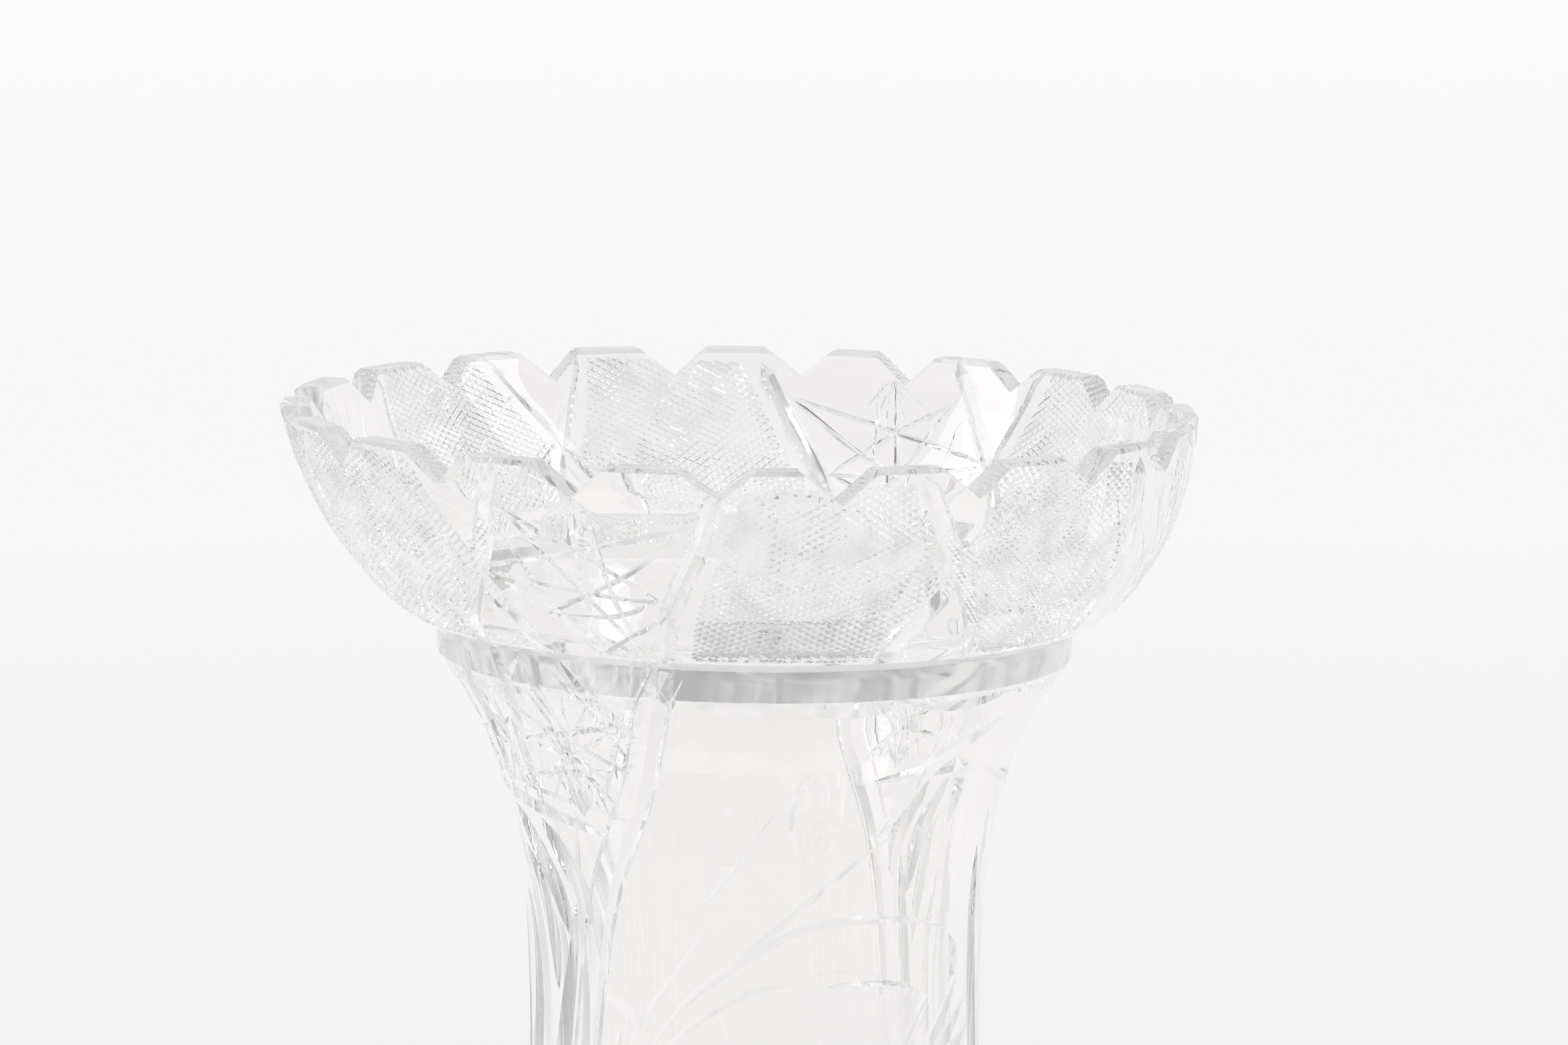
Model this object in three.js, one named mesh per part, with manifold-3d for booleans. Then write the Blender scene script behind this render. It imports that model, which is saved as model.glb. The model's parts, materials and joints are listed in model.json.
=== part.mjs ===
// A hand-cut crystal flower vase: one piece of thick glass with a wide scalloped bowl, a cut ring
// under it, a narrow waist and a spreading foot. Millimetres, +Z up, origin at the centre of the
// resting ring. Angles are in degrees about +Z, 0 at the front (-Y) and growing towards +X.
import * as THREE from "three";
import { mergeVertices } from "three/addons/utils/BufferGeometryUtils.js";
import Module from "manifold-3d";

const HEIGHT = 300;
const RIM_RADIUS = 83.7;
const WAIST_RADIUS = 41.5;
const FOOT_RADIUS = 60;
const SEGMENTS = 60;

// Rim: flat-topped scallops between V notches.
const SCALLOPS = 20;
const FIRST_NOTCH = -4;
const NOTCH_DEPTH = 6;
const NOTCH_HALF_WIDTH = 7;
const RIM_EDGE = 0.7;
const RIM_INNER_RADIUS = 78.6;

// Ring groove between bowl and neck: a sloping upper face over an upright lower face.
const RING_TOP = { z: 262.6, r: 63.2 };
const RING_ROOT = { z: 260.6, r: 58.2 };
const RING_FOOT = { z: 255, r: 58 };

// Underside: a flat resting ring around a shallow ground recess.
const REST_INNER_RADIUS = 47;
const REST_OUTER_RADIUS = 58.4;
const RECESS_RADIUS = 43;
const RECESS_DEPTH = 2.5;
const FLOOR_TOP = 15;

const WALL_STEPS = 15;
const BOWL_STEPS = 6;
const INNER_STEPS = 18;

// Wall outlines as [radius, height] points for smooth curves.
const BODY_WALL = [
  [FOOT_RADIUS - 0.2, 4],
  [FOOT_RADIUS - 2.4, 18],
  [53, 40],
  [48, 70],
  [44.2, 102],
  [42, 135],
  [WAIST_RADIUS, 168],
  [WAIST_RADIUS, 195],
  [42.3, 210],
  [44.3, 222],
  [47, 234],
  [51.6, 245],
  [57.5, 254],
];
const BOWL_WALL = [
  [RING_TOP.r, RING_TOP.z],
  [67.8, 266],
  [72.8, 272],
  [76.8, 278],
  [79.5, 284],
  [81.7, 290],
  [RIM_RADIUS, HEIGHT - RIM_EDGE],
];
const INNER_WALL = [
  [RIM_INNER_RADIUS - 0.4, HEIGHT - RIM_EDGE],
  [75.4, 290],
  [69.6, 278.5],
  [60.2, 267],
  [51.6, 258.5],
  [44.6, 248.5],
  [39.6, 236],
  [36.4, 220],
  [34.4, 200],
  [34, 170],
  [34.8, 135],
  [37.4, 102],
  [41, 70],
  [43.4, 46],
  [41.4, 30],
  [31, 19.5],
  [14, FLOOR_TOP + 0.6],
  [0, FLOOR_TOP],
];

// Mitre cuts, each a path of [angle, height] points, with the widest half-width and depth.
// Every one of them is repeated half a turn further round.
const MITRES = [
  { path: [[-45.5, 297], [-38.5, 279], [-33.5, 263.5]], half: 1.6, depth: 1.3 },
  { path: [[-30.5, 298], [-38, 278], [-50, 264]], half: 1.6, depth: 1.3 },
  { path: [[23, 298], [28, 281], [36.5, 264]], half: 1.5, depth: 1.2 },
  { path: [[37, 296], [29, 281], [20, 264]], half: 1.5, depth: 1.2 },
  { path: [[-2.5, 295], [-6, 285], [-10, 275], [-14.6, 263.5]], half: 1.8, depth: 1.4 },
  { path: [[-15.4, 254.5], [-20, 248], [-26, 237], [-37, 219.5], [-42, 210]], half: 2.6, depth: 1.9 },
  { path: [[-43, 212], [-47, 201], [-52, 189], [-58, 172]], half: 2.2, depth: 1.5 },
];
const MITRE_SECTIONS = 9;
const MITRE_PROUD = 0.8;
const MITRE_END = 0.06;

const wasm = await Module();
wasm.setup();

// Points along a smooth curve through [radius, height] pairs.
function smooth(pairs, steps) {
  const curve = new THREE.SplineCurve(pairs.map(([r, z]) => new THREE.Vector2(r, z)));
  return curve.getPoints(steps);
}

function solidOf(geometry) {
  geometry.deleteAttribute("normal");
  geometry.deleteAttribute("uv");
  const merged = mergeVertices(geometry, 1e-4);
  return new wasm.Manifold(
    new wasm.Mesh({
      numProp: 3,
      vertProperties: merged.attributes.position.array,
      triVerts: new Uint32Array(merged.index.array),
    }),
  );
}

function geometryOf(solid) {
  const mesh = solid.getMesh();
  const geometry = new THREE.BufferGeometry();
  geometry.setAttribute("position", new THREE.BufferAttribute(mesh.vertProperties, mesh.numProp));
  geometry.setIndex(new THREE.BufferAttribute(mesh.triVerts, 1));
  geometry.computeVertexNormals();
  return geometry;
}

// The whole outer wall, from the foot up to the rim, with the ring groove in it.
const OUTER_WALL = [
  ...smooth(BODY_WALL, WALL_STEPS),
  new THREE.Vector2(RING_FOOT.r, RING_FOOT.z),
  new THREE.Vector2(RING_ROOT.r, RING_ROOT.z),
  ...smooth(BOWL_WALL, BOWL_STEPS),
];

// The blown blank, turned about the axis: outside from the recess up, then inside back down.
function makeBlank() {
  const outline = [
    new THREE.Vector2(0, RECESS_DEPTH),
    new THREE.Vector2(RECESS_RADIUS, RECESS_DEPTH),
    new THREE.Vector2(REST_INNER_RADIUS, 0),
    new THREE.Vector2(REST_OUTER_RADIUS, 0),
    ...OUTER_WALL,
    new THREE.Vector2(RIM_RADIUS - RIM_EDGE, HEIGHT),
    new THREE.Vector2(RIM_INNER_RADIUS, HEIGHT),
    ...smooth(INNER_WALL, INNER_STEPS),
  ];
  outline[outline.length - 1].x = 0;
  return solidOf(new THREE.LatheGeometry(outline, SEGMENTS).rotateX(Math.PI / 2));
}

// A radial V prism that cuts one notch into the rim.
function rimNotch(angle) {
  const proud = 2;
  const half = NOTCH_HALF_WIDTH * (1 + proud / NOTCH_DEPTH);
  const section = new THREE.Shape([
    new THREE.Vector2(0, -NOTCH_DEPTH),
    new THREE.Vector2(half, proud),
    new THREE.Vector2(-half, proud),
  ]);
  const length = 24;
  const prism = new THREE.ExtrudeGeometry(section, { depth: length, bevelEnabled: false });
  prism.rotateX(Math.PI / 2);
  prism.translate(0, -(RIM_RADIUS - length + 6), HEIGHT);
  prism.rotateZ(THREE.MathUtils.degToRad(angle));
  return solidOf(prism);
}

// Outer radius at a height, read off the turned outline.
function outerRadius(height) {
  const i = OUTER_WALL.findIndex((point, k) => k > 0 && point.y >= height);
  const [low, high] = [OUTER_WALL[i - 1], OUTER_WALL[i]];
  return THREE.MathUtils.mapLinear(height, low.y, high.y, low.x, high.x);
}

function surfacePoint(angle, height) {
  const a = THREE.MathUtils.degToRad(angle);
  const r = outerRadius(height);
  return new THREE.Vector3(r * Math.sin(a), -r * Math.cos(a), height);
}

function surfaceNormal(angle, height) {
  const a = THREE.MathUtils.degToRad(angle);
  const slope = (outerRadius(height + 1) - outerRadius(height - 1)) / 2;
  return new THREE.Vector3(Math.sin(a), -Math.cos(a), -slope).normalize();
}

// A V-section bar that follows the outer surface and runs out to nothing at both ends.
function mitreCutter({ path, half, depth }, turn) {
  const flat = new THREE.SplineCurve(path.map(([a, z]) => new THREE.Vector2(a, z)));
  const points = [];
  for (let i = 0; i <= MITRE_SECTIONS; i++) {
    const t = i / MITRE_SECTIONS;
    const here = flat.getPoint(t);
    const ahead = flat.getPoint(Math.min(1, t + 0.02));
    const behind = flat.getPoint(Math.max(0, t - 0.02));
    const at = surfacePoint(here.x + turn, here.y);
    const out = surfaceNormal(here.x + turn, here.y);
    const along = surfacePoint(ahead.x + turn, ahead.y).sub(surfacePoint(behind.x + turn, behind.y));
    const side = new THREE.Vector3().crossVectors(out, along).normalize();
    const share = MITRE_END + (1 - MITRE_END) * Math.sin(Math.PI * t) ** 0.6;
    const sink = depth * share;
    const spread = (half / depth) * (sink + MITRE_PROUD);
    points.push(at.clone().addScaledVector(out, -sink));
    points.push(at.clone().addScaledVector(out, MITRE_PROUD).addScaledVector(side, spread));
    points.push(at.clone().addScaledVector(out, MITRE_PROUD).addScaledVector(side, -spread));
  }
  const faces = [0, 2, 1];
  for (let i = 0; i < MITRE_SECTIONS; i++) {
    for (let k = 0; k < 3; k++) {
      const [a, b] = [3 * i + k, 3 * i + ((k + 1) % 3)];
      faces.push(a, b, a + 3, b, b + 3, a + 3);
    }
  }
  const last = 3 * MITRE_SECTIONS;
  faces.push(last, last + 1, last + 2);
  const bar = new THREE.BufferGeometry().setFromPoints(points);
  bar.setIndex(faces);
  return solidOf(bar);
}

function makeVase() {
  let vase = makeBlank();
  for (let i = 0; i < SCALLOPS; i++) {
    vase = vase.subtract(rimNotch(FIRST_NOTCH + (i * 360) / SCALLOPS));
  }
  for (const mitre of MITRES) {
    for (const turn of [0, 180]) vase = vase.subtract(mitreCutter(mitre, turn));
  }
  return geometryOf(vase);
}

const glass = new THREE.MeshStandardMaterial({
  color: 0xf1f4f3,
  roughness: 0.02,
  metalness: 0,
  transparent: true,
  opacity: 0.35,
});

const object = new THREE.Group();
const vaseBody = new THREE.Mesh(makeVase(), glass);
vaseBody.name = "vase_body";
object.add(vaseBody);

export default object;
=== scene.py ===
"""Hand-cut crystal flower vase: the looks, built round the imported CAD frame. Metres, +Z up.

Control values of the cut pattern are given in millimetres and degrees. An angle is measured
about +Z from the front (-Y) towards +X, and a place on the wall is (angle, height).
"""
import json
import math

import bmesh
import bpy
import mathutils
import numpy as np
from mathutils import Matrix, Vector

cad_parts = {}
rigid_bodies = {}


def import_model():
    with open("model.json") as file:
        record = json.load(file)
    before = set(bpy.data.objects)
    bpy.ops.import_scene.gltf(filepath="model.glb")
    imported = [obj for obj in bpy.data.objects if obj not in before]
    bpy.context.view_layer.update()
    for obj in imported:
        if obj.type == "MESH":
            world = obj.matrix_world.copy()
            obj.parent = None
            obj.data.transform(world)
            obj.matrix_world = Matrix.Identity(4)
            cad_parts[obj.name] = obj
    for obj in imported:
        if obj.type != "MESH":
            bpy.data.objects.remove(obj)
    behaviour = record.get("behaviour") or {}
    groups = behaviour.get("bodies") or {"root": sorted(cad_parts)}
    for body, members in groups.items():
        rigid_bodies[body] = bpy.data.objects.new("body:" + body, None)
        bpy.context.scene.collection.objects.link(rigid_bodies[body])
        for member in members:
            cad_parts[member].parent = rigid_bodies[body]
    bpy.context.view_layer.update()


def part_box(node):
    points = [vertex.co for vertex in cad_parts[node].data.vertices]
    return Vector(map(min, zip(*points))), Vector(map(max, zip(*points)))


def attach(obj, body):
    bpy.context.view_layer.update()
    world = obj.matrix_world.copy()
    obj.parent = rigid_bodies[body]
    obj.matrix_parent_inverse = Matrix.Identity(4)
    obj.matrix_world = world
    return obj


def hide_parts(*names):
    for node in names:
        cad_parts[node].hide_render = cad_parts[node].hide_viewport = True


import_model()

MM = 0.001
NODE = "vase_body"
LOW, HIGH = (np.array(corner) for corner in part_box(NODE))
HEIGHT = (HIGH[2] - LOW[2]) / MM
RIM_RADIUS = (HIGH[0] - LOW[0]) / 2 / MM

# ---------------------------------------------------------------- outlines, [radius, height] in mm
RING_TOP, RING_ROOT, RING_FOOT = (63.2, 262.6), (58.2, 260.6), (58.0, 255.0)
BODY_WALL = [
    (59.8, 4), (57.6, 18), (53, 40), (48, 70), (44.2, 102), (42, 135), (41.5, 168),
    (41.5, 195), (42.3, 210), (44.3, 222), (47, 234), (51.6, 245), (57.5, 254),
]
RIM_EDGE = 0.8
BOWL_WALL = [
    RING_TOP, (67.8, 266), (72.8, 272), (76.8, 278), (79.5, 284), (81.7, 290),
    (RIM_RADIUS, HEIGHT - RIM_EDGE),
]
RIM_INNER = 78.6
INNER_WALL = [
    (RIM_INNER - 0.4, HEIGHT - RIM_EDGE), (75.4, 290), (69.6, 278.5), (60.2, 267), (51.6, 258.5),
    (44.6, 248.5), (39.6, 236), (36.4, 220), (34.4, 200), (34, 170), (34.8, 135), (37.4, 102),
    (41, 70), (43.4, 46), (41.4, 30), (31, 19.5), (14, 15.6), (0.01, 15),
]
UNDERSIDE = [(0.01, 2.5), (43, 2.5), (47, 0), (58.4, 0), (59.8, 4)]
SEGMENTS = 96


FINE = 40


def smooth(points, step):
    """Points about step apart along a centripetal Catmull-Rom curve through the given ones.

    The curve is first sampled FINE times between each two given points.
    """
    p = np.array(points, float)
    p = np.vstack([2 * p[0] - p[1], p, 2 * p[-1] - p[-2]])
    fine = []
    for i in range(1, len(p) - 2):
        knots = np.cumsum([0] + [max(np.linalg.norm(p[i + k] - p[i + k - 1]), 1e-6) ** 0.5
                                 for k in range(3)])
        t0, t1, t2, t3 = knots
        t = np.linspace(t1, t2, FINE, endpoint=i == len(p) - 3)[:, None]
        a1 = (t1 - t) / (t1 - t0) * p[i - 1] + (t - t0) / (t1 - t0) * p[i]
        a2 = (t2 - t) / (t2 - t1) * p[i] + (t - t1) / (t2 - t1) * p[i + 1]
        a3 = (t3 - t) / (t3 - t2) * p[i + 1] + (t - t2) / (t3 - t2) * p[i + 2]
        b1 = (t2 - t) / (t2 - t0) * a1 + (t - t0) / (t2 - t0) * a2
        b2 = (t3 - t) / (t3 - t1) * a2 + (t - t1) / (t3 - t1) * a3
        fine.append((t2 - t) / (t2 - t1) * b1 + (t - t1) / (t2 - t1) * b2)
    fine = np.vstack(fine)
    along = np.concatenate([[0], np.cumsum(np.linalg.norm(np.diff(fine, axis=0), axis=1))])
    count = max(2, int(round(along[-1] / step)) + 1)
    at = np.linspace(0, along[-1], count)
    return np.stack([np.interp(at, along, fine[:, k]) for k in range(fine.shape[1])], 1)


TABLE_STEP = 0.5
body_wall = smooth(BODY_WALL, TABLE_STEP)
bowl_wall = smooth(BOWL_WALL, TABLE_STEP)
outer_wall = np.vstack([body_wall, [RING_FOOT, RING_ROOT], bowl_wall])


def radius(z):
    """The outer wall's radius at a height."""
    return np.interp(z, outer_wall[:, 1], outer_wall[:, 0])


def slope(z):
    """dr/dz of the outer wall, smoothed over a millimetre."""
    z = np.asarray(z, float)
    return radius(z + 0.5) - radius(z - 0.5)


def wall_point(angle, z, lift=0.0):
    """A point lifted off the outer wall along its normal; angle in degrees, lengths in mm."""
    a, r, m = np.radians(angle), radius(z), slope(z)
    k = 1 / np.sqrt(1 + m * m)
    r, z = r + lift * k, z - lift * m * k
    return np.stack([r * np.sin(a), -r * np.cos(a), z + 0 * a], -1)


def wall_normal(angle, z):
    """The outer wall's unit normal at a place."""
    a, m = np.radians(angle), slope(z)
    k = 1 / np.sqrt(1 + m * m)
    return np.stack([k * np.sin(a), -k * np.cos(a), -m * k + 0 * a], -1)


# ---------------------------------------------------------------- meshes
# Material slots, by how the surface was worked; RING and RIM carry painted grey shade.
SLOTS = 7
BLANK, CUT, SATIN, RING, MITRE, RIM, FLUTE = range(SLOTS)


def new_mesh(name, verts, faces, slot=BLANK):
    """A mesh from points in mm, with empty material slots and every face in one of them."""
    mesh = bpy.data.meshes.new(name)
    mesh.from_pydata([tuple(v) for v in np.asarray(verts) * MM], [], faces)
    mesh.validate()
    for _ in range(SLOTS):
        mesh.materials.append(None)
    mesh.polygons.foreach_set("material_index", np.full(len(mesh.polygons), slot, np.int32))
    return mesh


def new_object(name, mesh):
    ob = bpy.data.objects.new(name, mesh)
    bpy.context.scene.collection.objects.link(ob)
    return ob


# Rows of the blank, in mm along the outline: coarser below COARSE, where the curve is slow.
HEEL_STEP, LOW_STEP, HIGH_STEP, BOWL_STEP, INNER_STEP = 1.5, 5.0, 3.2, 4.5, 3.4
COARSE = 180
RING_MIDDLE = (58.1, 257.8)


def blank_outline():
    """The blank's outline from the middle of the underside, up the outside and down the inside."""
    low, high = smooth(BODY_WALL, LOW_STEP), smooth(BODY_WALL, HIGH_STEP)
    inner = smooth(INNER_WALL, INNER_STEP)
    every_other = np.arange(len(inner)) % 2 == 0
    return np.vstack([
        np.array(UNDERSIDE[:-1], float),
        smooth(UNDERSIDE[-2:], HEEL_STEP)[1:-1],
        low[low[:, 1] < COARSE],
        high[high[:, 1] >= COARSE + 1],
        [RING_FOOT, RING_MIDDLE, RING_ROOT],
        smooth(BOWL_WALL, BOWL_STEP),
        [(RIM_RADIUS - RIM_EDGE, HEIGHT), (RIM_INNER, HEIGHT)],
        inner[(inner[:, 1] > COARSE) | every_other],
    ])


def make_blank():
    """The blown blank, turned about the axis, closed at the axis top and bottom."""
    outline = blank_outline()
    turn = np.arange(SEGMENTS) * 2 * math.pi / SEGMENTS
    verts = np.stack([
        np.outer(outline[:, 0], np.sin(turn)),
        -np.outer(outline[:, 0], np.cos(turn)),
        np.repeat(outline[:, 1:2], SEGMENTS, 1),
    ], -1).reshape(-1, 3)
    faces = []
    for i in range(len(outline) - 1):
        for k in range(SEGMENTS):
            n = (k + 1) % SEGMENTS
            faces.append((i * SEGMENTS + k, i * SEGMENTS + n, (i + 1) * SEGMENTS + n,
                          (i + 1) * SEGMENTS + k))
    last = (len(outline) - 1) * SEGMENTS
    faces.append(tuple(range(SEGMENTS - 1, -1, -1)))
    faces.append(tuple(range(last, last + SEGMENTS)))
    return new_mesh("blank", verts, faces)


# ---------------------------------------------------------------- wheel cuts
# A bar's V goes on past the wall by a share of its half width, and its sides end PROUD of the wall.
PROUD = 0.9
OVER_SHARE, OVER_MOST = 0.15, 0.25
# Bars in one group keep CLEARANCE between the balls of this reach round their points.
REACH_SHARE, REACH_SPARE = 1.2, 0.1
CLEARANCE = 0.15


class Cutters:
    """Closed V-section bars that share no space, collected into one mesh for one boolean cut."""

    def __init__(self, name, slot):
        self.name, self.slot, self.verts, self.faces, self.count = name, slot, [], [], 0
        self.bars = []

    def bar(self, at, out, half, depth):
        """One bar along the points at, with the wall's normals out; half widths and depths in mm.

        Its V goes on a little past the wall, and from there its sides stand straight.
        """
        along = np.gradient(at, axis=0)
        side = np.cross(out, along)
        side /= np.linalg.norm(side, axis=1)[:, None]
        over = np.minimum(OVER_SHARE * half, OVER_MOST)
        wide = (half * (depth + over) / depth)[:, None]
        low, top = out * over[:, None], out * PROUD
        ring = [at - out * depth[:, None], at + low + side * wide, at + top + side * wide,
                at + top - side * wide, at + low - side * wide]
        self.verts.append(np.stack(ring, 1).reshape(-1, 3))
        start, n = self.count, len(at)
        self.count += 5 * n
        self.faces.append(tuple(start + k for k in (4, 3, 2, 1, 0)))
        for i in range(n - 1):
            for k in range(5):
                a, b = start + 5 * i + k, start + 5 * i + (k + 1) % 5
                self.faces += [(a, b, b + 5), (a, b + 5, a + 5)]
        self.faces.append(tuple(start + 5 * (n - 1) + k for k in range(5)))

    def prism(self, verts, faces):
        """Any closed solid."""
        self.verts.append(np.asarray(verts, float))
        self.faces += [tuple(self.count + k for k in face) for face in faces]
        self.count += len(verts)

    def build(self):
        """The whole group as one object."""
        mesh = new_mesh(self.name, np.vstack(self.verts), self.faces, self.slot)
        return new_object(self.name, mesh)

    def has_room(self, at, reach):
        """True if no bar here comes within reach of the points at."""
        low, high = at.min(0) - reach, at.max(0) + reach
        for other, other_reach in self.bars:
            if (other.max(0) + other_reach < low).any() or (other.min(0) - other_reach > high).any():
                continue
            gaps = np.linalg.norm(other[:, None] - at[None], axis=2)
            if gaps.min() < reach + other_reach + CLEARANCE:
                return False
        return True


stroke_groups = []


def cut_stroke(at, out, half, depth, slot):
    """Puts a bar in the first group of its slot where it touches no other bar."""
    reach = float(half.max()) * REACH_SHARE + REACH_SPARE
    for group in stroke_groups:
        if group.slot == slot and group.has_room(at, reach):
            break
    else:
        group = Cutters(f"strokes_{len(stroke_groups)}", slot)
        stroke_groups.append(group)
    group.bars.append((at, reach))
    group.bar(at, out, half, depth)


# How a cut's size runs along its length t, 0 to 1: a wheel enters and leaves by its own radius.
def lens(t):
    """Widest in the middle, pointed at both ends."""
    return np.sin(np.pi * np.clip(t, 0.0, 1.0)) ** 0.6


def spear(t):
    """Full soon after the start, then narrowing to a point."""
    return np.minimum(1, t / 0.12) ** 0.7 * (1 - np.clip(t, 0, 1)) ** 0.55


def run(t):
    """Full all the way, with short rounded ends."""
    return np.minimum(1, np.minimum(t, 1 - t) / 0.06) ** 0.6


def flare(t):
    """Narrow at the start and full at a blunt end."""
    return 0.2 + 0.8 * t ** 0.8


# Most of the pattern is cut twice, half a turn apart. No cut gets thinner than LEAST of its full size.
TURNS = (0, 180)
LEAST = 0.05
STROKE_STEP, STAR_STEP = 2.8, 3.0
SHOULDER, SHOULDER_DEPTH = 1.3, 0.5


def stroke(path, half, depth, form=lens, slot=CUT, turns=TURNS, step=STROKE_STEP):
    """A wheel cut along a smooth path of (angle, height) places, repeated at each turn."""
    flat = np.array(path, float)
    mean = np.radians(1) * radius(flat[:, 1].mean())
    way = smooth(flat * (mean, 1), step) / (mean, 1)
    t = np.linspace(0, 1, len(way))
    share = LEAST + (1 - LEAST) * form(t)
    for turn in turns:
        at = wall_point(way[:, 0] + turn, way[:, 1])
        out = wall_normal(way[:, 0] + turn, way[:, 1])
        cut_stroke(at, out, half * share, depth * share, slot)


def beside(path, offset):
    """The path moved sideways along the wall by offset mm."""
    flat = np.array(path, float)
    mean = np.radians(1) * radius(flat[:, 1])
    along = np.gradient(flat * np.stack([mean, 1 + 0 * mean], 1), axis=0)
    along /= np.linalg.norm(along, axis=1)[:, None]
    return flat + offset * np.stack([along[:, 1] / mean, -along[:, 0]], 1)


def mitre(path, half, depth):
    """A deep V with a soft shoulder on each side, as an edge has after polishing."""
    stroke(path, half, depth, run, slot=MITRE)
    stroke(path, half * SHOULDER, depth * SHOULDER_DEPTH, run)


def star(centre, ends, half, depth, **more):
    """Straight cuts from a centre place out to each end."""
    for end in ends:
        stroke([centre, end], half, depth, spear, step=STAR_STEP, **more)


# ---------------------------------------------------------------- fine hatching
# Grooves every PITCH mm, 20 to the inch, leaning in degrees from level. A groove's ends run out over
# RUN_OUT mm to RUN_OUT_SIZE of its size. Lines are tried out to HATCH_REACH from a panel's middle.
PITCH = 1.27
HATCH_HALF, HATCH_DEPTH = 0.53, 0.36
UP_LEAN, DOWN_LEAN = 27, -37
RUN_OUT = 0.7
HATCH_REACH = 70
HATCH_SAMPLE = 0.25
HATCH_BAR = 6.5
SHORTEST = 2.2 * RUN_OUT
RUN_OUT_SIZE = 0.12
arc_z = np.linspace(5, HEIGHT - 1, 1200)
arc_length = np.concatenate([[0], np.cumsum(np.hypot(np.diff(arc_z), np.diff(radius(arc_z))))])
# Two groups for each family, by turns, so that neighbours never share one.
hatch_groups = [Cutters(f"hatch_{k}", CUT) for k in range(4)]


def inside(polygon, x, y):
    """Even-odd test of points against a polygon."""
    hit = np.zeros(len(x), bool)
    for (x0, y0), (x1, y1) in zip(polygon, np.roll(polygon, -1, 0)):
        if y0 == y1:
            continue
        crossing = (y0 > y) != (y1 > y)
        hit ^= crossing & (x < (x1 - x0) * (y - y0) / (y1 - y0) + x0)
    return hit


def hatch(polygon, pitch=PITCH, leans=(UP_LEAN, DOWN_LEAN), half=HATCH_HALF, depth=HATCH_DEPTH,
          turns=TURNS):
    """Fills a panel, given by its corners, with two families of fine V grooves."""
    polygon = np.array(polygon, float)
    centre = polygon.mean(0)
    middle = np.interp(centre[1], arc_z, arc_length)
    t = np.arange(-HATCH_REACH, HATCH_REACH, HATCH_SAMPLE)
    most = int(HATCH_REACH / pitch)
    for family, lean in enumerate(leans):
        d = np.array([math.cos(math.radians(lean)), math.sin(math.radians(lean))])
        for line in range(-most, most + 1):
            group = hatch_groups[2 * family + line % 2]
            x, y = t * d[0] - line * pitch * d[1], t * d[1] + line * pitch * d[0] + middle
            z = np.interp(y, arc_length, arc_z)
            a = centre[0] + np.degrees(x / radius(z))
            seen = inside(polygon, a, z) & (y > 0.5) & (y < arc_length[-1] - 0.5)
            edge = np.flatnonzero(np.diff(np.concatenate([[0], seen.view(np.int8), [0]])))
            for first, last in zip(edge[::2], edge[1::2] - 1):
                hatch_line(a, z, t, first, last, group, half, depth, turns)


def hatch_line(a, z, t, first, last, group, half, depth, turns):
    """One groove between two samples of its line, running out at both ends."""
    long = t[last] - t[first]
    if long < SHORTEST:
        return
    body = np.linspace(t[first] + RUN_OUT, t[last] - RUN_OUT, max(2, int(long / HATCH_BAR) + 1))
    at = np.concatenate([[t[first]], body, [t[last]]])
    angle, height = np.interp(at, t, a), np.interp(at, t, z)
    share = np.ones(len(at))
    share[[0, -1]] = RUN_OUT_SIZE
    for turn in turns:
        group.bar(wall_point(angle + turn, height), wall_normal(angle + turn, height),
                  half * share, depth * share)


# ---------------------------------------------------------------- rim
# Angles of the notches, which are not quite evenly spaced.
NOTCHES = [-40, -21, -2.5, 12.5, 30.5, 48.5, 66.5, 84.5, 102.5, 121, 139, 156.5, 172, 189.5, 207.5,
           225, 244, 263, 282, 301]
NOTCH_DEPTH, NOTCH_HALF = 5.8, 6.9
NOTCH_SWAY, NOTCH_BEAT = 0.35, 2.4
NOTCH_REACH = (70, 92)
NOTCH_MIDDLE, NOTCH_FALL = 81, 0.14
NOTCH_OVER = 0.6


def cut_rim(group):
    """V notches across the rim, each a radial prism, a little uneven as hand-cut ones are.

    A notch is NOTCH_DEPTH deep at NOTCH_MIDDLE and falls outwards; its V goes on above the rim.
    """
    half = NOTCH_HALF * (1 + NOTCH_OVER)
    for i, angle in enumerate(NOTCHES):
        deep = NOTCH_DEPTH + NOTCH_SWAY * math.sin(NOTCH_BEAT * i)
        top = HEIGHT + deep * NOTCH_OVER
        a = math.radians(angle)
        out, side = np.array([math.sin(a), -math.cos(a), 0]), np.array([math.cos(a), math.sin(a), 0])
        verts = []
        for reach in NOTCH_REACH:
            rise = np.array([0, 0, NOTCH_FALL * (NOTCH_MIDDLE - reach)]) + out * reach
            verts += [rise + (0, 0, HEIGHT - deep), rise + side * half + (0, 0, top),
                      rise - side * half + (0, 0, top)]
        group.prism(verts, [(2, 1, 0), (3, 4, 5), (1, 4, 3, 0), (2, 5, 4, 1), (0, 3, 5, 2)])


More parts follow.
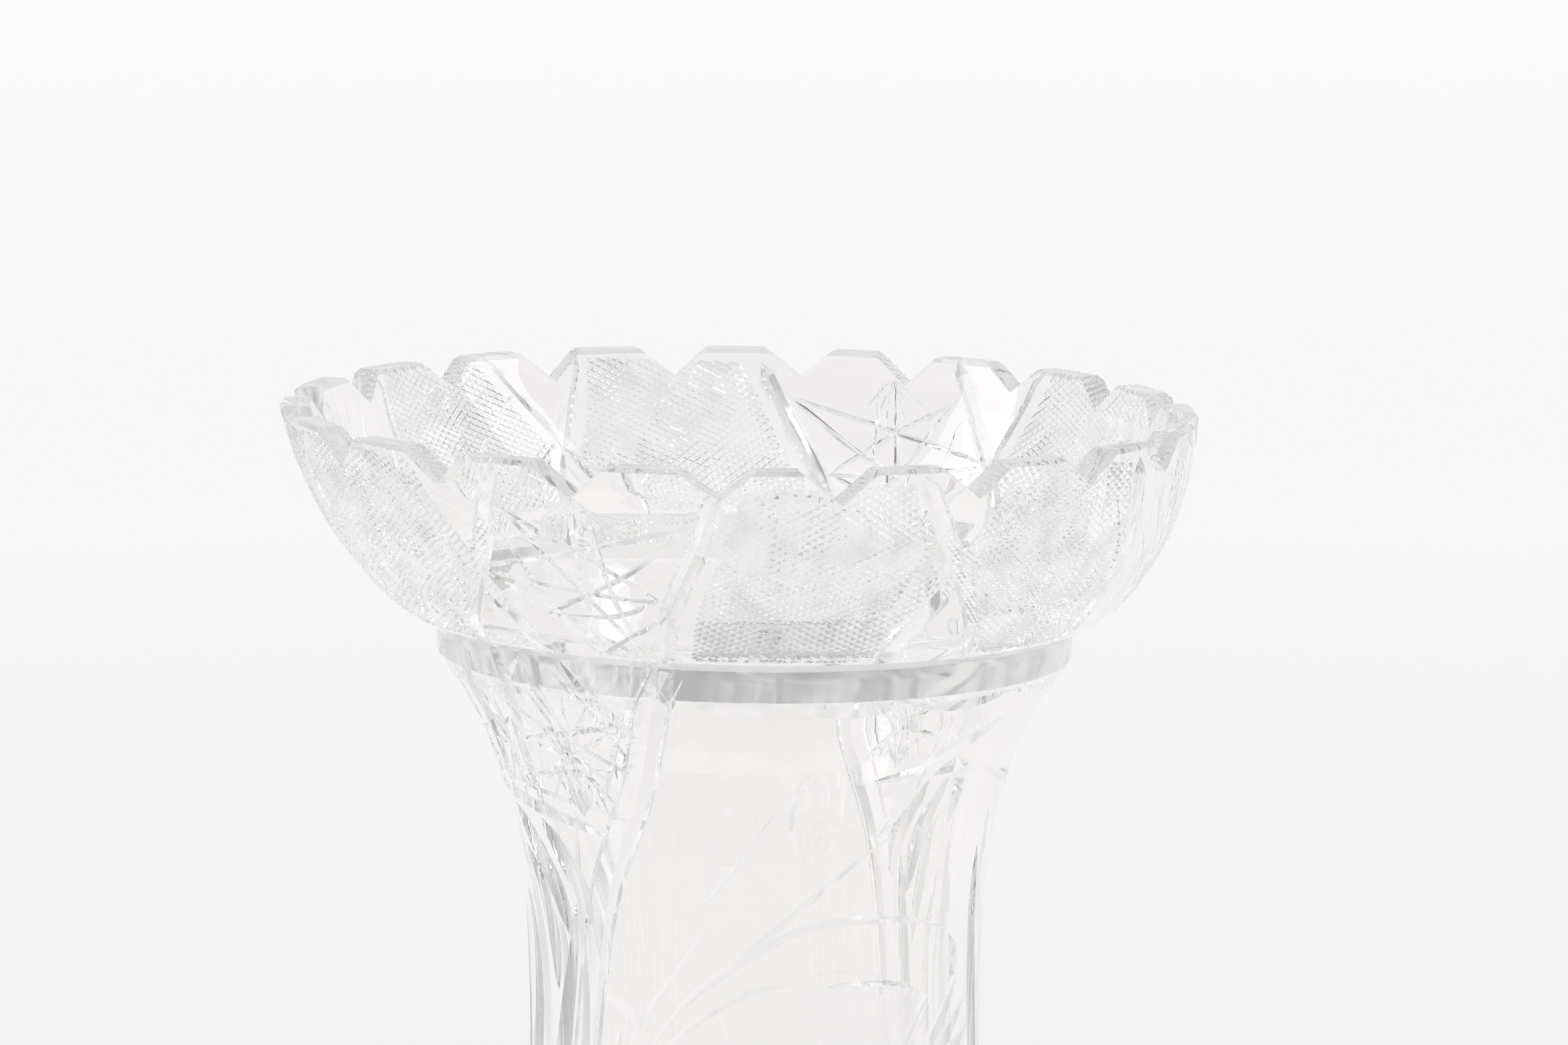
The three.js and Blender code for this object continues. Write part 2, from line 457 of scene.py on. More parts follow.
# ---------------------------------------------------------------- the cut pattern
# Bowl. Each list is one half of the vase; the other half repeats it half a turn round.
BOWL_MITRES = [
    [(-45.5, 298.5), (-38.5, 279), (-33.5, 262)],
    [(-30.5, 298.8), (-37.5, 279), (-50, 262)],
    [(23, 298.8), (28, 281.5), (36.5, 262.2)],
    [(37.5, 298.4), (28.8, 281), (20, 262.2)],
    [(-2.5, 296.5), (-6, 285), (-10, 275), (-14.8, 261.6)],
    [(58.5, 298), (59.8, 280), (57.2, 262.2)],
    [(92, 298), (93.5, 280), (99, 262.2)],
]
BOWL_MITRE = (1.75, 1.6)
HATCH_PANELS = [
    [(-47, 298.6), (-39, 280), (-38.6, 277), (-49, 263.3), (-79, 263.3), (-85, 280), (-87, 298)],
    [(0.5, 296.5), (-1.8, 290), (-4.3, 281), (-6.8, 275), (-8.6, 268), (-9.8, 263.4), (17, 263.3),
     (19.3, 264.5), (20.5, 270), (24, 273), (26, 279), (24, 284), (22.8, 290), (21.8, 297.5)],
    [(38.8, 298), (34, 289), (29.8, 281), (31.4, 274), (36.8, 263.5), (55.6, 263.3), (57, 270),
     (58.4, 280), (57.8, 290), (56.8, 298)],
]
STAR_LINES = [
    [(-36.5, 279.6), (-21.5, 284.2), (-5.6, 290)],
    [(-37, 279), (-22.2, 276.2), (-11, 275.2)],
    [(-36.8, 278.6), (-27.7, 272.2), (-17.5, 263.5)],
    [(-31.5, 291.5), (-21.5, 284), (-11.5, 275.2)],
    [(-31, 292), (-22.3, 275.9), (-16.6, 264.8)],
    [(-31.8, 288), (-27.8, 272.3), (-24.2, 263)],
    [(-21.3, 294), (-21.6, 284), (-22.2, 276), (-23.6, 263.4)],
    [(-18.9, 293), (-18.4, 279), (-17.2, 266)],
    [(-6.4, 289.6), (-14.8, 280.8), (-20.4, 276.8), (-30, 271)],
    [(-12, 275.4), (-18.5, 272), (-30, 271)],
    [(-11.6, 272), (-20, 266.2), (-25, 262.8)],
]
STAR_CUT = (0.6, 0.5)
STAR_CHIPS = [
    [(-35, 278.7), (-30.4, 277.1)], [(-34.6, 277), (-31.5, 274.4)], [(-28.2, 289), (-25.8, 286.4)],
    [(-22, 276.1), (-18.2, 276.1)], [(-14.6, 275.9), (-12, 276.2)], [(-20.3, 267), (-17, 265.5)],
    [(-27, 273), (-23.3, 275.2)], [(-15.8, 273.4), (-12.6, 274.8)], [(-26, 281), (-24.7, 277.8)],
    [(-29, 277), (-28.1, 272.8)], [(-18.7, 275), (-17.4, 272.3)], [(-20.4, 277), (-18.2, 278.4)],
]
CHIP_CUT = (0.55, 0.6)
VALLEY_FAN = ((-20.8, 294.6), [(-26, 289), (-24.4, 287), (-22.9, 285.8), (-21.4, 285.4),
                               (-19.8, 284.8), (-18.4, 285.6), (-16.6, 288)])
FAN_CUT = (0.5, 0.42)
SIDE_FAN = ((77, 262.8), [(62.8, 284), (65.2, 291), (68.8, 295), (72.6, 297), (76, 298),
                          (80, 297), (83.6, 295), (87, 291), (89.4, 284)])
SIDE_FAN_CUT = (1.15, 0.8)

# Neck.
NECK_MITRES = [
    ([(-92, 233.5), (-60, 230.5), (-47, 229), (-31.5, 226.8)], 1.3, 0.85),
    ([(-46, 260), (-52.5, 250), (-56.6, 240), (-55.5, 230)], 1.9, 1.1),
    ([(-61, 259.5), (-67, 246), (-70, 231)], 2.2, 1.2),
    ([(-78, 259.5), (-83, 246), (-85, 231)], 2.2, 1.2),
    ([(-36.5, 260.4), (-29, 253), (-21.5, 244)], 1.1, 0.8),
]
# The broad mitre from the ring down across the front, with a fine cut along each of its edges.
GREAT_MITRE = [(-13.9, 262.2), (-19.6, 250.5), (-25.6, 237), (-30, 229.5), (-36.4, 219.5), (-41.5, 209),
               (-46, 192), (-49, 172), (-50.5, 150), (-51, 125)]
GREAT_CUT = (2.9, 1.35)
GREAT_EDGE = 3.1
EDGE_CUT = (0.45, 0.5)
RING_WAVES = [
    [(-11, 254), (-3, 253.6), (6, 254.2)], [(5, 254.2), (17, 253.2), (29, 254)],
    [(28, 254.2), (41, 253.2), (54, 254.2)], [(54, 254), (68, 253.4), (80, 254.2)],
    [(80, 254.2), (95, 253.4), (110, 254)], [(110, 254), (124, 253.4), (138, 254.2)],
    [(-36, 254), (-28, 253.4), (-19, 254.2)],
]
WAVE_CUT = (2.2, 0.5)
NECK_LINES = [
    [(-53, 250), (-24, 238.5)], [(-57, 243), (-22, 249.5)], [(-51, 232), (-28, 256)],
    [(-38, 258), (-21.5, 243)], [(-36, 232), (-24, 252)], [(-45, 258.5), (-34, 231)],
    [(-55, 237), (-33, 240)], [(-47, 246), (-30, 232)],
]
NECK_LINE_CUT = (0.6, 0.62)
NECK_STARS = [
    ((-41, 242), [(-41, 255.5), (-36.5, 254), (-32, 245.4), (-32.5, 238), (-36, 231.5), (-41, 230),
                  (-45.5, 231.5), (-51.5, 236), (-54, 243), (-50.5, 250), (-45.6, 255)]),
    ((-29.6, 247.4), [(-33.6, 255), (-29, 256), (-24, 252), (-22.6, 246.5), (-25.5, 241),
                      (-30, 238), (-34.6, 243.5), (-36.4, 248)]),
    ((-62, 241), [(-62, 255), (-58, 251), (-57.6, 243), (-58.6, 234), (-62, 230.8), (-67, 234),
                  (-68.4, 243), (-66, 252)]),
    ((-76.5, 242), [(-72, 254), (-76, 257), (-80, 252), (-83, 243), (-80, 234), (-76, 231.4),
                    (-72, 235), (-70.6, 244)]),
]
NECK_STAR_CUT = (0.85, 0.8)
NECK_FANS = [((-41.4, 230.4), [(-47, 237.6), (-44.4, 238.4), (-41.2, 239), (-38, 238.4),
                               (-35.6, 237)])]
# Waist, down to the foot.
WAIST_FLUTES = [
    ([(-71, 229.2), (-64, 224), (-56, 215), (-51, 206)], 2.9, 1.0),
    ([(-58, 228.2), (-52, 223), (-46, 215.5), (-43.6, 208)], 2.6, 0.9),
    ([(-48.5, 213.5), (-51.5, 203), (-55, 192), (-59, 176), (-62, 150), (-63, 112)], 3.0, 1.4),
    ([(-75, 213), (-71.6, 203), (-71.5, 190), (-75, 174), (-79, 150), (-81, 112)], 3.6, 1.5),
    ([(66, 222), (70, 208), (73, 190), (75, 170), (77, 140), (79, 112)], 3.4, 1.5),
    ([(88, 226), (92, 210), (95, 190), (97, 165), (98, 140)], 3.2, 1.4),
    ([(-69, 222), (-64, 216), (-60, 206), (-58.5, 196)], 2.4, 1.2),
]

# The engraved spray: stems and blades are smoothed like the mitres, leaves and petals are satin.
STEMS = [
    [(-36, 183), (-28, 194), (-19, 203), (-12, 210.8)],
    [(-28, 187), (-16, 198), (-4, 205), (7, 212), (20, 220.5), (34, 228)],
    [(-27, 189), (-14, 199), (0, 206.2), (10, 210.4), (20, 212), (30, 211.8), (43, 210.6), (56, 207.4)],
    [(-24, 188), (-10, 196), (0, 199.8), (10, 200.8)],
    [(-38, 178), (-30, 164), (-18, 146), (-4, 128), (8, 108)],
    [(-34, 184), (-31, 160), (-26, 136), (-22, 100)],
]
STEM_CUT = (0.85, 0.36)
BLADES = [
    ([(29, 227.4), (34, 233), (40.5, 240.5), (48, 244.4), (58, 248)], 2.3, 0.55),
    ([(5.5, 234.4), (-4, 223), (-16, 212)], 0.5, 0.3),
    ([(47, 241), (50.6, 235.4), (50, 228.2)], 1.9, 0.8),
    ([(57, 206.4), (60.6, 201.5), (58, 197)], 1.4, 0.6),
]
LEAVES = [
    ([(-4.4, 235.4), (-8.6, 226), (-13.6, 212.6)], 1.9, 0.5),
    ([(11.4, 240.8), (8.4, 234), (6.8, 226.6)], 1.3, 0.45),
    ([(-2, 150), (8, 141), (20, 137)], 2.4, 0.55),
    ([(-10, 134), (-6, 122), (-8, 108)], 2.2, 0.55),
    ([(-27, 150), (-38, 142), (-46, 130)], 2.3, 0.55),
    ([(-24, 122), (-34, 112), (-44, 106)], 2.2, 0.55),
    ([(8, 108), (20, 102), (30, 92)], 2.2, 0.55),
]
FLOWER = (31, 172)
FLOWER_TOP = [(15, 199.6), (22.5, 199.9), (30.5, 199.2), (38, 198.4), (45, 197.4)]
PETALS = [(66, 193), (76, 172), (64, 150), (32, 142), (-2, 150), (-10, 172)]
PETAL_CUT = (4.4, 0.42)
CUP_LIP = [(14, 199.2), (22, 200.3), (31, 200), (39, 199.2), (46.5, 197)]
LIP_CUT = (0.55, 0.4)
PETAL_SPREAD = (-0.16, 0, 0.16)
OUTER_PETAL_CUT = (2.0, 0.5)
PETAL_START, CUP_ROOT = 0.12, 3
DEGREES_PER_MM, MM_PER_DEGREE = 1.3, 0.76
# The back carries a simpler spray, lower down so that it does not show behind the front one.
BACK_DROP = 62
BACK_STEMS, BACK_LEAVES, BACK_PETALS = 4, 2, 0

# Foot: a band of fans and hatched diamonds under a mitre ring, in equal fields. A place in a field is
# (share of the field's width, height), from the line through its fan or through its diamond.
FOOT_FIELDS = 10
FOOT_RING, FOOT_RING_CUT = 54, (1.5, 1.0)
FOOT_RING_SHARES = (0, 0.35, 0.7, 1.06)
FOOT_LOW = 7
FOOT_LEAF, FOOT_LEAF_CUT = [(0, FOOT_LOW), (0.26, 27), (0.5, 51)], (1.6, 1.1)
FAN_SHARES, FAN_TOP, FAN_DROP = (-0.3, -0.15, 0, 0.15, 0.3), 49, 22
FOOT_FAN_CUT = (1.0, 0.7)
FOOT_DIAMOND = [(0, 47), (-0.24, 28), (-0.42, 9), (0.42, 9), (0.24, 28)]
FOOT_HATCH = {"pitch": 2.3, "half": 0.92, "depth": 0.7}


def foot_band():
    """The band round the foot, field by field."""
    once = {"turns": (0,)}
    pitch = 360 / FOOT_FIELDS
    for k in range(FOOT_FIELDS):
        a = k * pitch
        middle = a + pitch / 2
        arc = [(a - 1 + pitch * share, FOOT_RING) for share in FOOT_RING_SHARES]
        stroke(arc, *FOOT_RING_CUT, run, **once)
        for way in (-1, 1):
            stroke([(a + way * pitch * share, z) for share, z in FOOT_LEAF], *FOOT_LEAF_CUT, **once)
        rays = [(a + pitch * share, FAN_TOP - FAN_DROP * abs(share)) for share in FAN_SHARES]
        star((a, FOOT_LOW + 2), rays, *FOOT_FAN_CUT, **once)
        hatch([(middle + pitch * share, z) for share, z in FOOT_DIAMOND], **FOOT_HATCH, **once)


BASE_RAYS = 24
BASE_RAY = (4, 38)
BASE_SAMPLES = 12
BASE_HALF, BASE_SWELL, BASE_TIP = 0.27, 1.9, 0.15


def base_star():
    """Rays ground into the recess under the foot, widening outwards."""
    reach = np.linspace(*BASE_RAY, BASE_SAMPLES)
    t = (reach - reach[0]) / (reach[-1] - reach[0])
    half = BASE_HALF + BASE_SWELL * t * np.minimum(1, (1 - t) / BASE_TIP) ** 0.5
    down = np.tile((0.0, 0.0, -1.0), (BASE_SAMPLES, 1))
    for k in range(BASE_RAYS):
        a = 2 * math.pi * (k + 0.5) / BASE_RAYS
        at = np.stack([reach * math.sin(a), -reach * math.cos(a), 0 * reach + UNDERSIDE[0][1]], 1)
        cut_stroke(at, down, half, half * 0.5, CUT)


def lowered(path, drop):
    """The path moved down by drop mm."""
    return [(angle, z - drop) for angle, z in path]


def engrave_cup(drop, place):
    """The flower's cup: broad upright petals under a thin lip."""
    for top in FLOWER_TOP:
        path = [(FLOWER[0] + PETAL_START * (top[0] - FLOWER[0]), FLOWER[1] + CUP_ROOT), top]
        stroke(lowered(path, drop), *PETAL_CUT, flare, slot=SATIN, **place)
    stroke(lowered(CUP_LIP, drop), *LIP_CUT, **place)


def engrave_petals(petals, drop, place):
    """The outer petals, each three cuts spread a little from the line to its tip."""
    for tip in petals:
        away = (tip[0] - FLOWER[0], tip[1] - FLOWER[1])
        start = (FLOWER[0] + PETAL_START * away[0], FLOWER[1] + PETAL_START * away[1])
        for spread in PETAL_SPREAD:
            end = (tip[0] - spread * away[1] * DEGREES_PER_MM, tip[1] + spread * away[0] * MM_PER_DEGREE)
            stroke(lowered([start, end], drop), *OUTER_PETAL_CUT, slot=SATIN, **place)


def engrave_spray(turn, drop, stems, leaves, petals):
    """A stemmed flower with its leaves, turned about the axis and lowered by drop mm."""
    place = {"turns": (turn,)}
    for path in stems:
        stroke(lowered(path, drop), *STEM_CUT, slot=MITRE, **place)
    for path, half, depth in BLADES:
        stroke(lowered(path, drop), half, depth, slot=MITRE, **place)
    for path, half, depth in leaves:
        stroke(lowered(path, drop), half, depth, slot=SATIN, **place)
    engrave_cup(drop, place)
    engrave_petals(petals, drop, place)


def cut_bowl():
    """The bowl's crossing mitres, its star panels, fans and hatching."""
    for path in BOWL_MITRES:
        mitre(path, *BOWL_MITRE)
    for path in STAR_LINES:
        stroke(path, *STAR_CUT, run)
    for path in STAR_CHIPS:
        stroke(path, *CHIP_CUT)
    star(*VALLEY_FAN, *FAN_CUT)
    star(*SIDE_FAN, *SIDE_FAN_CUT)
    for panel in HATCH_PANELS:
        hatch(panel)


def cut_neck():
    """The great mitre, the waves under the ring, the neck's stars and the flutes of the waist."""
    stroke(GREAT_MITRE, *GREAT_CUT, run, slot=MITRE)
    for side in (-GREAT_EDGE, GREAT_EDGE):
        stroke(beside(GREAT_MITRE, side), *EDGE_CUT, run)
    for path in RING_WAVES:
        stroke(path, *WAVE_CUT)
    for path in NECK_LINES:
        stroke(path, *NECK_LINE_CUT)
    for path, half, depth in NECK_MITRES:
        stroke(path, half, depth)
    for path, half, depth in WAIST_FLUTES:
        stroke(path, half, depth, slot=FLUTE)
    for centre, ends in NECK_STARS + NECK_FANS:
        star(centre, ends, *NECK_STAR_CUT)


def clip_ngons(mesh):
    """Splits the many-cornered faces the cuts leave, whose outlines touch themselves."""
    work = bmesh.new()
    work.from_mesh(mesh)
    many = [face for face in work.faces if len(face.verts) > 4]
    bmesh.ops.triangulate(work, faces=many, ngon_method="EAR_CLIP")
    work.to_mesh(mesh)
    work.free()


def collect_cutters():
    """Lays out the whole pattern and returns a collection of its cutter objects."""
    rim = Cutters("rim", RIM)
    cut_rim(rim)
    cut_bowl()
    cut_neck()
    engrave_spray(0, 0, STEMS, LEAVES, PETALS)
    engrave_spray(180, BACK_DROP, STEMS[:BACK_STEMS], LEAVES[:BACK_LEAVES], PETALS[:BACK_PETALS])
    foot_band()
    base_star()
    tools = bpy.data.collections.new("wheels")
    for group in [rim] + stroke_groups + hatch_groups:
        ob = group.build()
        bpy.context.scene.collection.objects.unlink(ob)
        tools.objects.link(ob)
    return tools


def cut_glass():
    """The finished mesh: the blank less every wheel cut."""
    blank = new_object("blank", make_blank())
    tools = collect_cutters()
    cut = blank.modifiers.new("cut", "BOOLEAN")
    cut.operation, cut.solver = "DIFFERENCE", "MANIFOLD"
    cut.operand_type, cut.collection = "COLLECTION", tools
    graph = bpy.context.evaluated_depsgraph_get()
    mesh = bpy.data.meshes.new_from_object(blank.evaluated_get(graph))
    clip_ngons(mesh)
    for ob in [blank] + list(tools.objects):
        spent = ob.data
        bpy.data.objects.remove(ob)
        bpy.data.meshes.remove(spent)
    bpy.data.collections.remove(tools)
    return mesh


# ---------------------------------------------------------------- normals and hand-made unevenness
SHARP = math.radians(18)
# A face this near a turned outline, in mm, lies on it; a corner normal faces its face at least so much.
SEEN_AS_WALL = 0.4
LEAST_FACING = 0.5
# The bowl leans towards -X above LEAN_START, and its rim tilts above TILT_START, growing over TILT_OVER.
LEAN_START, LEAN_SIDE = 258.0, 2.8
LEAN_BEND, LEAN_LIMIT = 0.9, 1.1
TILT_START, TILT_OVER, TILT = 235.0, 20, 0.0155
# Turned outlines with the heights between which their exact normals are used.
TURNED = [(BODY_WALL, 3.9, 254.2), (BOWL_WALL, 262.5, 299.3), (INNER_WALL, 14, 299.3)]
KEY_LEAN = 0.2
AXIS_NEAR, RING_INSIDE, RIM_SHARE = 0.5, 56, 0.95


def unevenness(p):
    """Moves points in mm as the hot glass moved: the bowl leans a little and its rim is not level."""
    x, y, z = p[:, 0], p[:, 1], p[:, 2]
    lean = np.clip((z - LEAN_START) / (HEIGHT - LEAN_START), 0, LEAN_LIMIT)
    lean = lean * lean * (1 + LEAN_BEND - LEAN_BEND * np.minimum(lean, 1))
    rise = np.clip((z - TILT_START) / TILT_OVER, 0, 1)
    rise = rise * rise * (3 - 2 * rise)
    return np.stack([x - LEAN_SIDE * lean, y, z - TILT * x * rise], 1)


def moved_normals(p, n):
    """Normals after unevenness: the cofactors of its derivative applied to n."""
    d = 0.01
    cols = [(unevenness(p + np.eye(3)[k] * d) - unevenness(p - np.eye(3)[k] * d)) / (2 * d)
            for k in range(3)]
    a, b, c = cols
    out = (np.cross(b, c) * n[:, :1] + np.cross(c, a) * n[:, 1:2] + np.cross(a, b) * n[:, 2:3])
    return out / np.maximum(np.linalg.norm(out, axis=1), 1e-9)[:, None]


def outline_key(r, z):
    """A measure that only grows along each turned outline."""
    return z + KEY_LEAN * r


def curve_table(points):
    """A smooth outline's radii and normals against its key."""
    p = smooth(points, TABLE_STEP)
    s = outline_key(p[:, 0], p[:, 1])
    order = np.argsort(s)
    p, s = p[order], s[order]
    d = np.gradient(p, axis=0)
    n = np.stack([d[:, 1], -d[:, 0]], 1)
    return s, p[:, 0], n / np.linalg.norm(n, axis=1)[:, None]


def get(items, name, width):
    """A mesh's vectors of this width, or its whole numbers where the width is 1."""
    values = np.empty(len(items) * width, np.int32 if width == 1 else np.float32)
    items.foreach_get(name, values)
    return values if width == 1 else values.reshape(-1, width).astype(float)


def mark_sharp(mesh, slots):
    """Makes edges between two kinds of surface, or with a real angle, sharp.

    Returns the number of each corner's face.
    """
    mesh.shade_smooth()
    edge_of = get(mesh.loops, "edge_index", 1)
    face_of = np.repeat(np.arange(len(mesh.polygons)), get(mesh.polygons, "loop_total", 1))
    normals = get(mesh.polygons, "normal", 3)
    order = np.argsort(edge_of, kind="stable")
    pairs = face_of[order].reshape(-1, 2)
    cosine = np.einsum("ij,ij->i", normals[pairs[:, 0]], normals[pairs[:, 1]])
    sharp = (cosine < math.cos(SHARP)) | (slots[pairs[:, 0]] != slots[pairs[:, 1]])
    mark = mesh.attributes.new("sharp_edge", "BOOLEAN", "EDGE")
    flags = np.zeros(len(mesh.edges), bool)
    flags[edge_of[order][::2]] = sharp
    mark.data.foreach_set("value", flags)
    return face_of


def distance_out(points):
    """How far points are from the axis, never zero."""
    return np.maximum(np.hypot(points[:, 0], points[:, 1]), 1e-6)


def turned_profile(at, flat, centre, slots, face_of):
    """Each corner's normal as (outwards, up): its face's, or its outline's where it lies on one."""
    r, mid = distance_out(at), distance_out(centre)
    face_out = np.einsum("ij,ij->i", flat[:, :2], centre[:, :2]) / mid
    profile = np.stack([face_out, flat[:, 2]], 1)[face_of]
    face_key = outline_key(mid, centre[:, 2])
    for outline, low, high in TURNED:
        s, wall_r, n = curve_table(outline)
        near = np.abs(np.interp(face_key, s, wall_r) - mid) < SEEN_AS_WALL
        near &= (centre[:, 2] > low) & (centre[:, 2] < high) & (slots == BLANK)
        here = near[face_of]
        key = outline_key(r[here], at[here, 2])
        found = np.stack([np.interp(key, s, n[:, k]) for k in range(2)], 1)
        found /= np.linalg.norm(found, axis=1)[:, None]
        found *= np.sign(np.einsum("ij,ij->i", found, profile[here]))[:, None]
        profile[here] = found
    return profile


def exact_normals(mesh, at, flat, centre, slots, face_of):
    """Corner normals, exact on turned surfaces, and the face's own where they would face away."""
    corners = get(mesh.corner_normals, "vector", 3)
    r = distance_out(at)
    profile = turned_profile(at, flat, centre, slots, face_of)
    exact = np.concatenate([at[:, :2] / r[:, None] * profile[:, :1], profile[:, 1:]], 1)
    turned = (slots == BLANK)[face_of] & (r > AXIS_NEAR)
    corners[turned] = exact[turned]
    facing = flat[face_of]
    wrong = ~(np.einsum("ij,ij->i", corners, facing) > LEAST_FACING)
    corners[wrong] = facing[wrong]
    return corners


def painted_shade_slots(centre, slots):
    """The slots with the blank's faces on the ring's underside and on the rim in their own, whose
    materials carry painted grey shade.
    """
    height = centre[:, 2]
    blank = slots == BLANK
    # Painted shade: these faces go to the slots with a grey painted-shade colour.
    ring = blank & (height > RING_FOOT[1]) & (height < RING_ROOT[1])
    ring &= distance_out(centre) > RING_INSIDE
    rim = blank & (height > HEIGHT - RIM_SHARE * RIM_EDGE)
    return np.where(ring, RING, np.where(rim, RIM, slots)).astype(np.int32)


def finish_surface(mesh):
    """Sets exact normals on the turned surfaces, then adds the unevenness."""
    slots = get(mesh.polygons, "material_index", 1)
    face_of = mark_sharp(mesh, slots)
    mesh.update()
    points = get(mesh.vertices, "co", 3) / MM
    at = points[get(mesh.loops, "vertex_index", 1)]
    flat = get(mesh.polygons, "normal", 3)
    centre = get(mesh.polygons, "center", 3) / MM
    corners = moved_normals(at, exact_normals(mesh, at, flat, centre, slots, face_of))
    mesh.polygons.foreach_set("material_index", painted_shade_slots(centre, slots))
    mesh.vertices.foreach_set("co", (unevenness(points) * MM).astype(np.float32).ravel())
    mesh.normals_split_custom_set(corners)
    mesh.update()


# ---------------------------------------------------------------- materials
CRYSTAL_IOR = 1.545


def material(name):
    """A clear glass material, with its nodes, links and shader."""
    made = bpy.data.materials.new(name)
    made.use_nodes = True
    nodes = made.node_tree.nodes
    shader = next(n for n in nodes if n.type == "BSDF_PRINCIPLED")
    shader.inputs["Transmission Weight"].default_value = 1.0
    shader.inputs["IOR"].default_value = CRYSTAL_IOR
    return made, nodes, made.node_tree.links, shader


def noise(nodes, links, scale, detail=2.0, stretch=(1, 1, 1)):
    """Noise with so many waves a metre across the object, drawn out where stretch is under 1."""
    place = nodes.new("ShaderNodeTexCoord")
    mapping = nodes.new("ShaderNodeMapping")
    mapping.inputs["Scale"].default_value = stretch
    links.new(place.outputs["Object"], mapping.inputs["Vector"])
    made = nodes.new("ShaderNodeTexNoise")
    made.inputs["Scale"].default_value = scale
    made.inputs["Detail"].default_value = detail
    links.new(mapping.outputs["Vector"], made.inputs["Vector"])
    return made.outputs["Fac"]


NOISE_MIDDLE = (0.3, 0.7)


def spread(nodes, links, value, low, high):
    """Maps the middle of a noise on to low..high."""
    made = nodes.new("ShaderNodeMapRange")
    made.inputs["From Min"].default_value = NOISE_MIDDLE[0]
    made.inputs["From Max"].default_value = NOISE_MIDDLE[1]
    made.inputs["To Min"].default_value = low
    made.inputs["To Max"].default_value = high
    links.new(value, made.inputs["Value"])
    return made.outputs["Result"]


def tint(nodes, links, value, dark, light):
    """A colour between dark and light by value."""
    made = nodes.new("ShaderNodeMix")
    made.data_type = "RGBA"
    made.inputs[6].default_value = (*dark, 1)
    made.inputs[7].default_value = (*light, 1)
    links.new(value, made.inputs[0])
    return made.outputs[2]


def ramp(nodes, links, value, stops):
    """A colour ramp over (place, colour) stops."""
    made = nodes.new("ShaderNodeValToRGB")
    elements = made.color_ramp.elements
    elements.remove(elements[-1])
    for k, (place, colour) in enumerate(stops):
        stop = elements[0] if k == 0 else elements.new(place)
        stop.position, stop.color = place, (*colour, 1)
    links.new(value, made.inputs["Fac"])
    return made.outputs["Color"]


def bump(nodes, links, height, distance, shader):
    """A bump of so many metres on the shader."""
    made = nodes.new("ShaderNodeBump")
    made.inputs["Strength"].default_value = 1.0
    made.inputs["Distance"].default_value = distance
    links.new(height, made.inputs["Height"])
    links.new(made.outputs["Normal"], shader.inputs["Normal"])


def crystal():
    """Fire-polished lead crystal: a long soft ripple and faint cords in the metal."""
    made, nodes, links, shader = material("lead_crystal")
    cords = noise(nodes, links, 22, 3, (1, 1, 0.35))
    links.new(tint(nodes, links, cords, (0.974, 0.972, 0.967), (0.990, 0.987, 0.982)),
              shader.inputs["Base Color"])
    links.new(spread(nodes, links, noise(nodes, links, 90), 0.0, 0.012), shader.inputs["Roughness"])
    bump(nodes, links, noise(nodes, links, 38, 1, (1, 1, 0.6)), 0.00010, shader)
    return made


# Grey to clear across the noise, with rare painted glints of blue and orange that stand in for lead
# glass splitting light.
SMOKE, CLEAR = (0.8, 0.825, 0.82), (0.99, 0.994, 0.992)
PAINTED_BLUE_GLINT, PAINTED_ORANGE_GLINT = (0.86, 0.91, 1.0), (1.0, 0.95, 0.86)
CUT_GREY_AND_PAINTED_GLINTS = [
    (0.32, SMOKE), (0.56, CLEAR), (0.68, CLEAR), (0.7, PAINTED_BLUE_GLINT), (0.72, CLEAR), (0.74, PAINTED_ORANGE_GLINT),
    (0.76, CLEAR),
]


def wheel_cut():
    """Polished wheel cuts: the same metal with the faint waves of the wheel left in it, and rare painted
    blue and orange glints in its colour.
    """
    made, nodes, links, shader = material("wheel_cut_crystal")
    # Painted glints: rare blue and orange spots in the cut's colour.
    links.new(ramp(nodes, links, noise(nodes, links, 170, 1), CUT_GREY_AND_PAINTED_GLINTS), shader.inputs["Base Color"])
    links.new(spread(nodes, links, noise(nodes, links, 260), 0.0, 0.015), shader.inputs["Roughness"])
    bump(nodes, links, noise(nodes, links, 420, 2), 0.00001, shader)
    return made


def flute_cut():
    """The broad hollow flutes of the waist, with long dark streaks painted in their colour as
    reflections of the dark of the room.
    """
    made, nodes, links, shader = material("flute_cut_painted_reflections")
    # Painted reflections: long dark streaks in the flutes' colour.
    painted_dark_streaks = spread(nodes, links, noise(nodes, links, 150, 2, (1, 1, 0.12)), 0, 1)
    links.new(tint(nodes, links, painted_dark_streaks, (0.42, 0.445, 0.44), (0.93, 0.935, 0.93)),
              shader.inputs["Base Color"])
    links.new(spread(nodes, links, noise(nodes, links, 150), 0.02, 0.07), shader.inputs["Roughness"])
    bump(nodes, links, noise(nodes, links, 150, 2, (1, 1, 0.2)), 0.00003, shader)
    return made


def rim_painted_shade():
    """The ground and polished rim: the top, its bevels and the notches, their colour darkened by painted
    grey shade.
    """
    made, nodes, links, shader = material("rim_crystal_painted_shade")
    # Painted shade: a dark grey tint that outlines the rim.
    links.new(tint(nodes, links, noise(nodes, links, 140, 2), (0.5, 0.52, 0.515), (0.88, 0.89, 0.885)),
              shader.inputs["Base Color"])
    links.new(spread(nodes, links, noise(nodes, links, 200, 2), 0.02, 0.08), shader.inputs["Roughness"])
    bump(nodes, links, noise(nodes, links, 300, 2), 0.00002, shader)
    return made


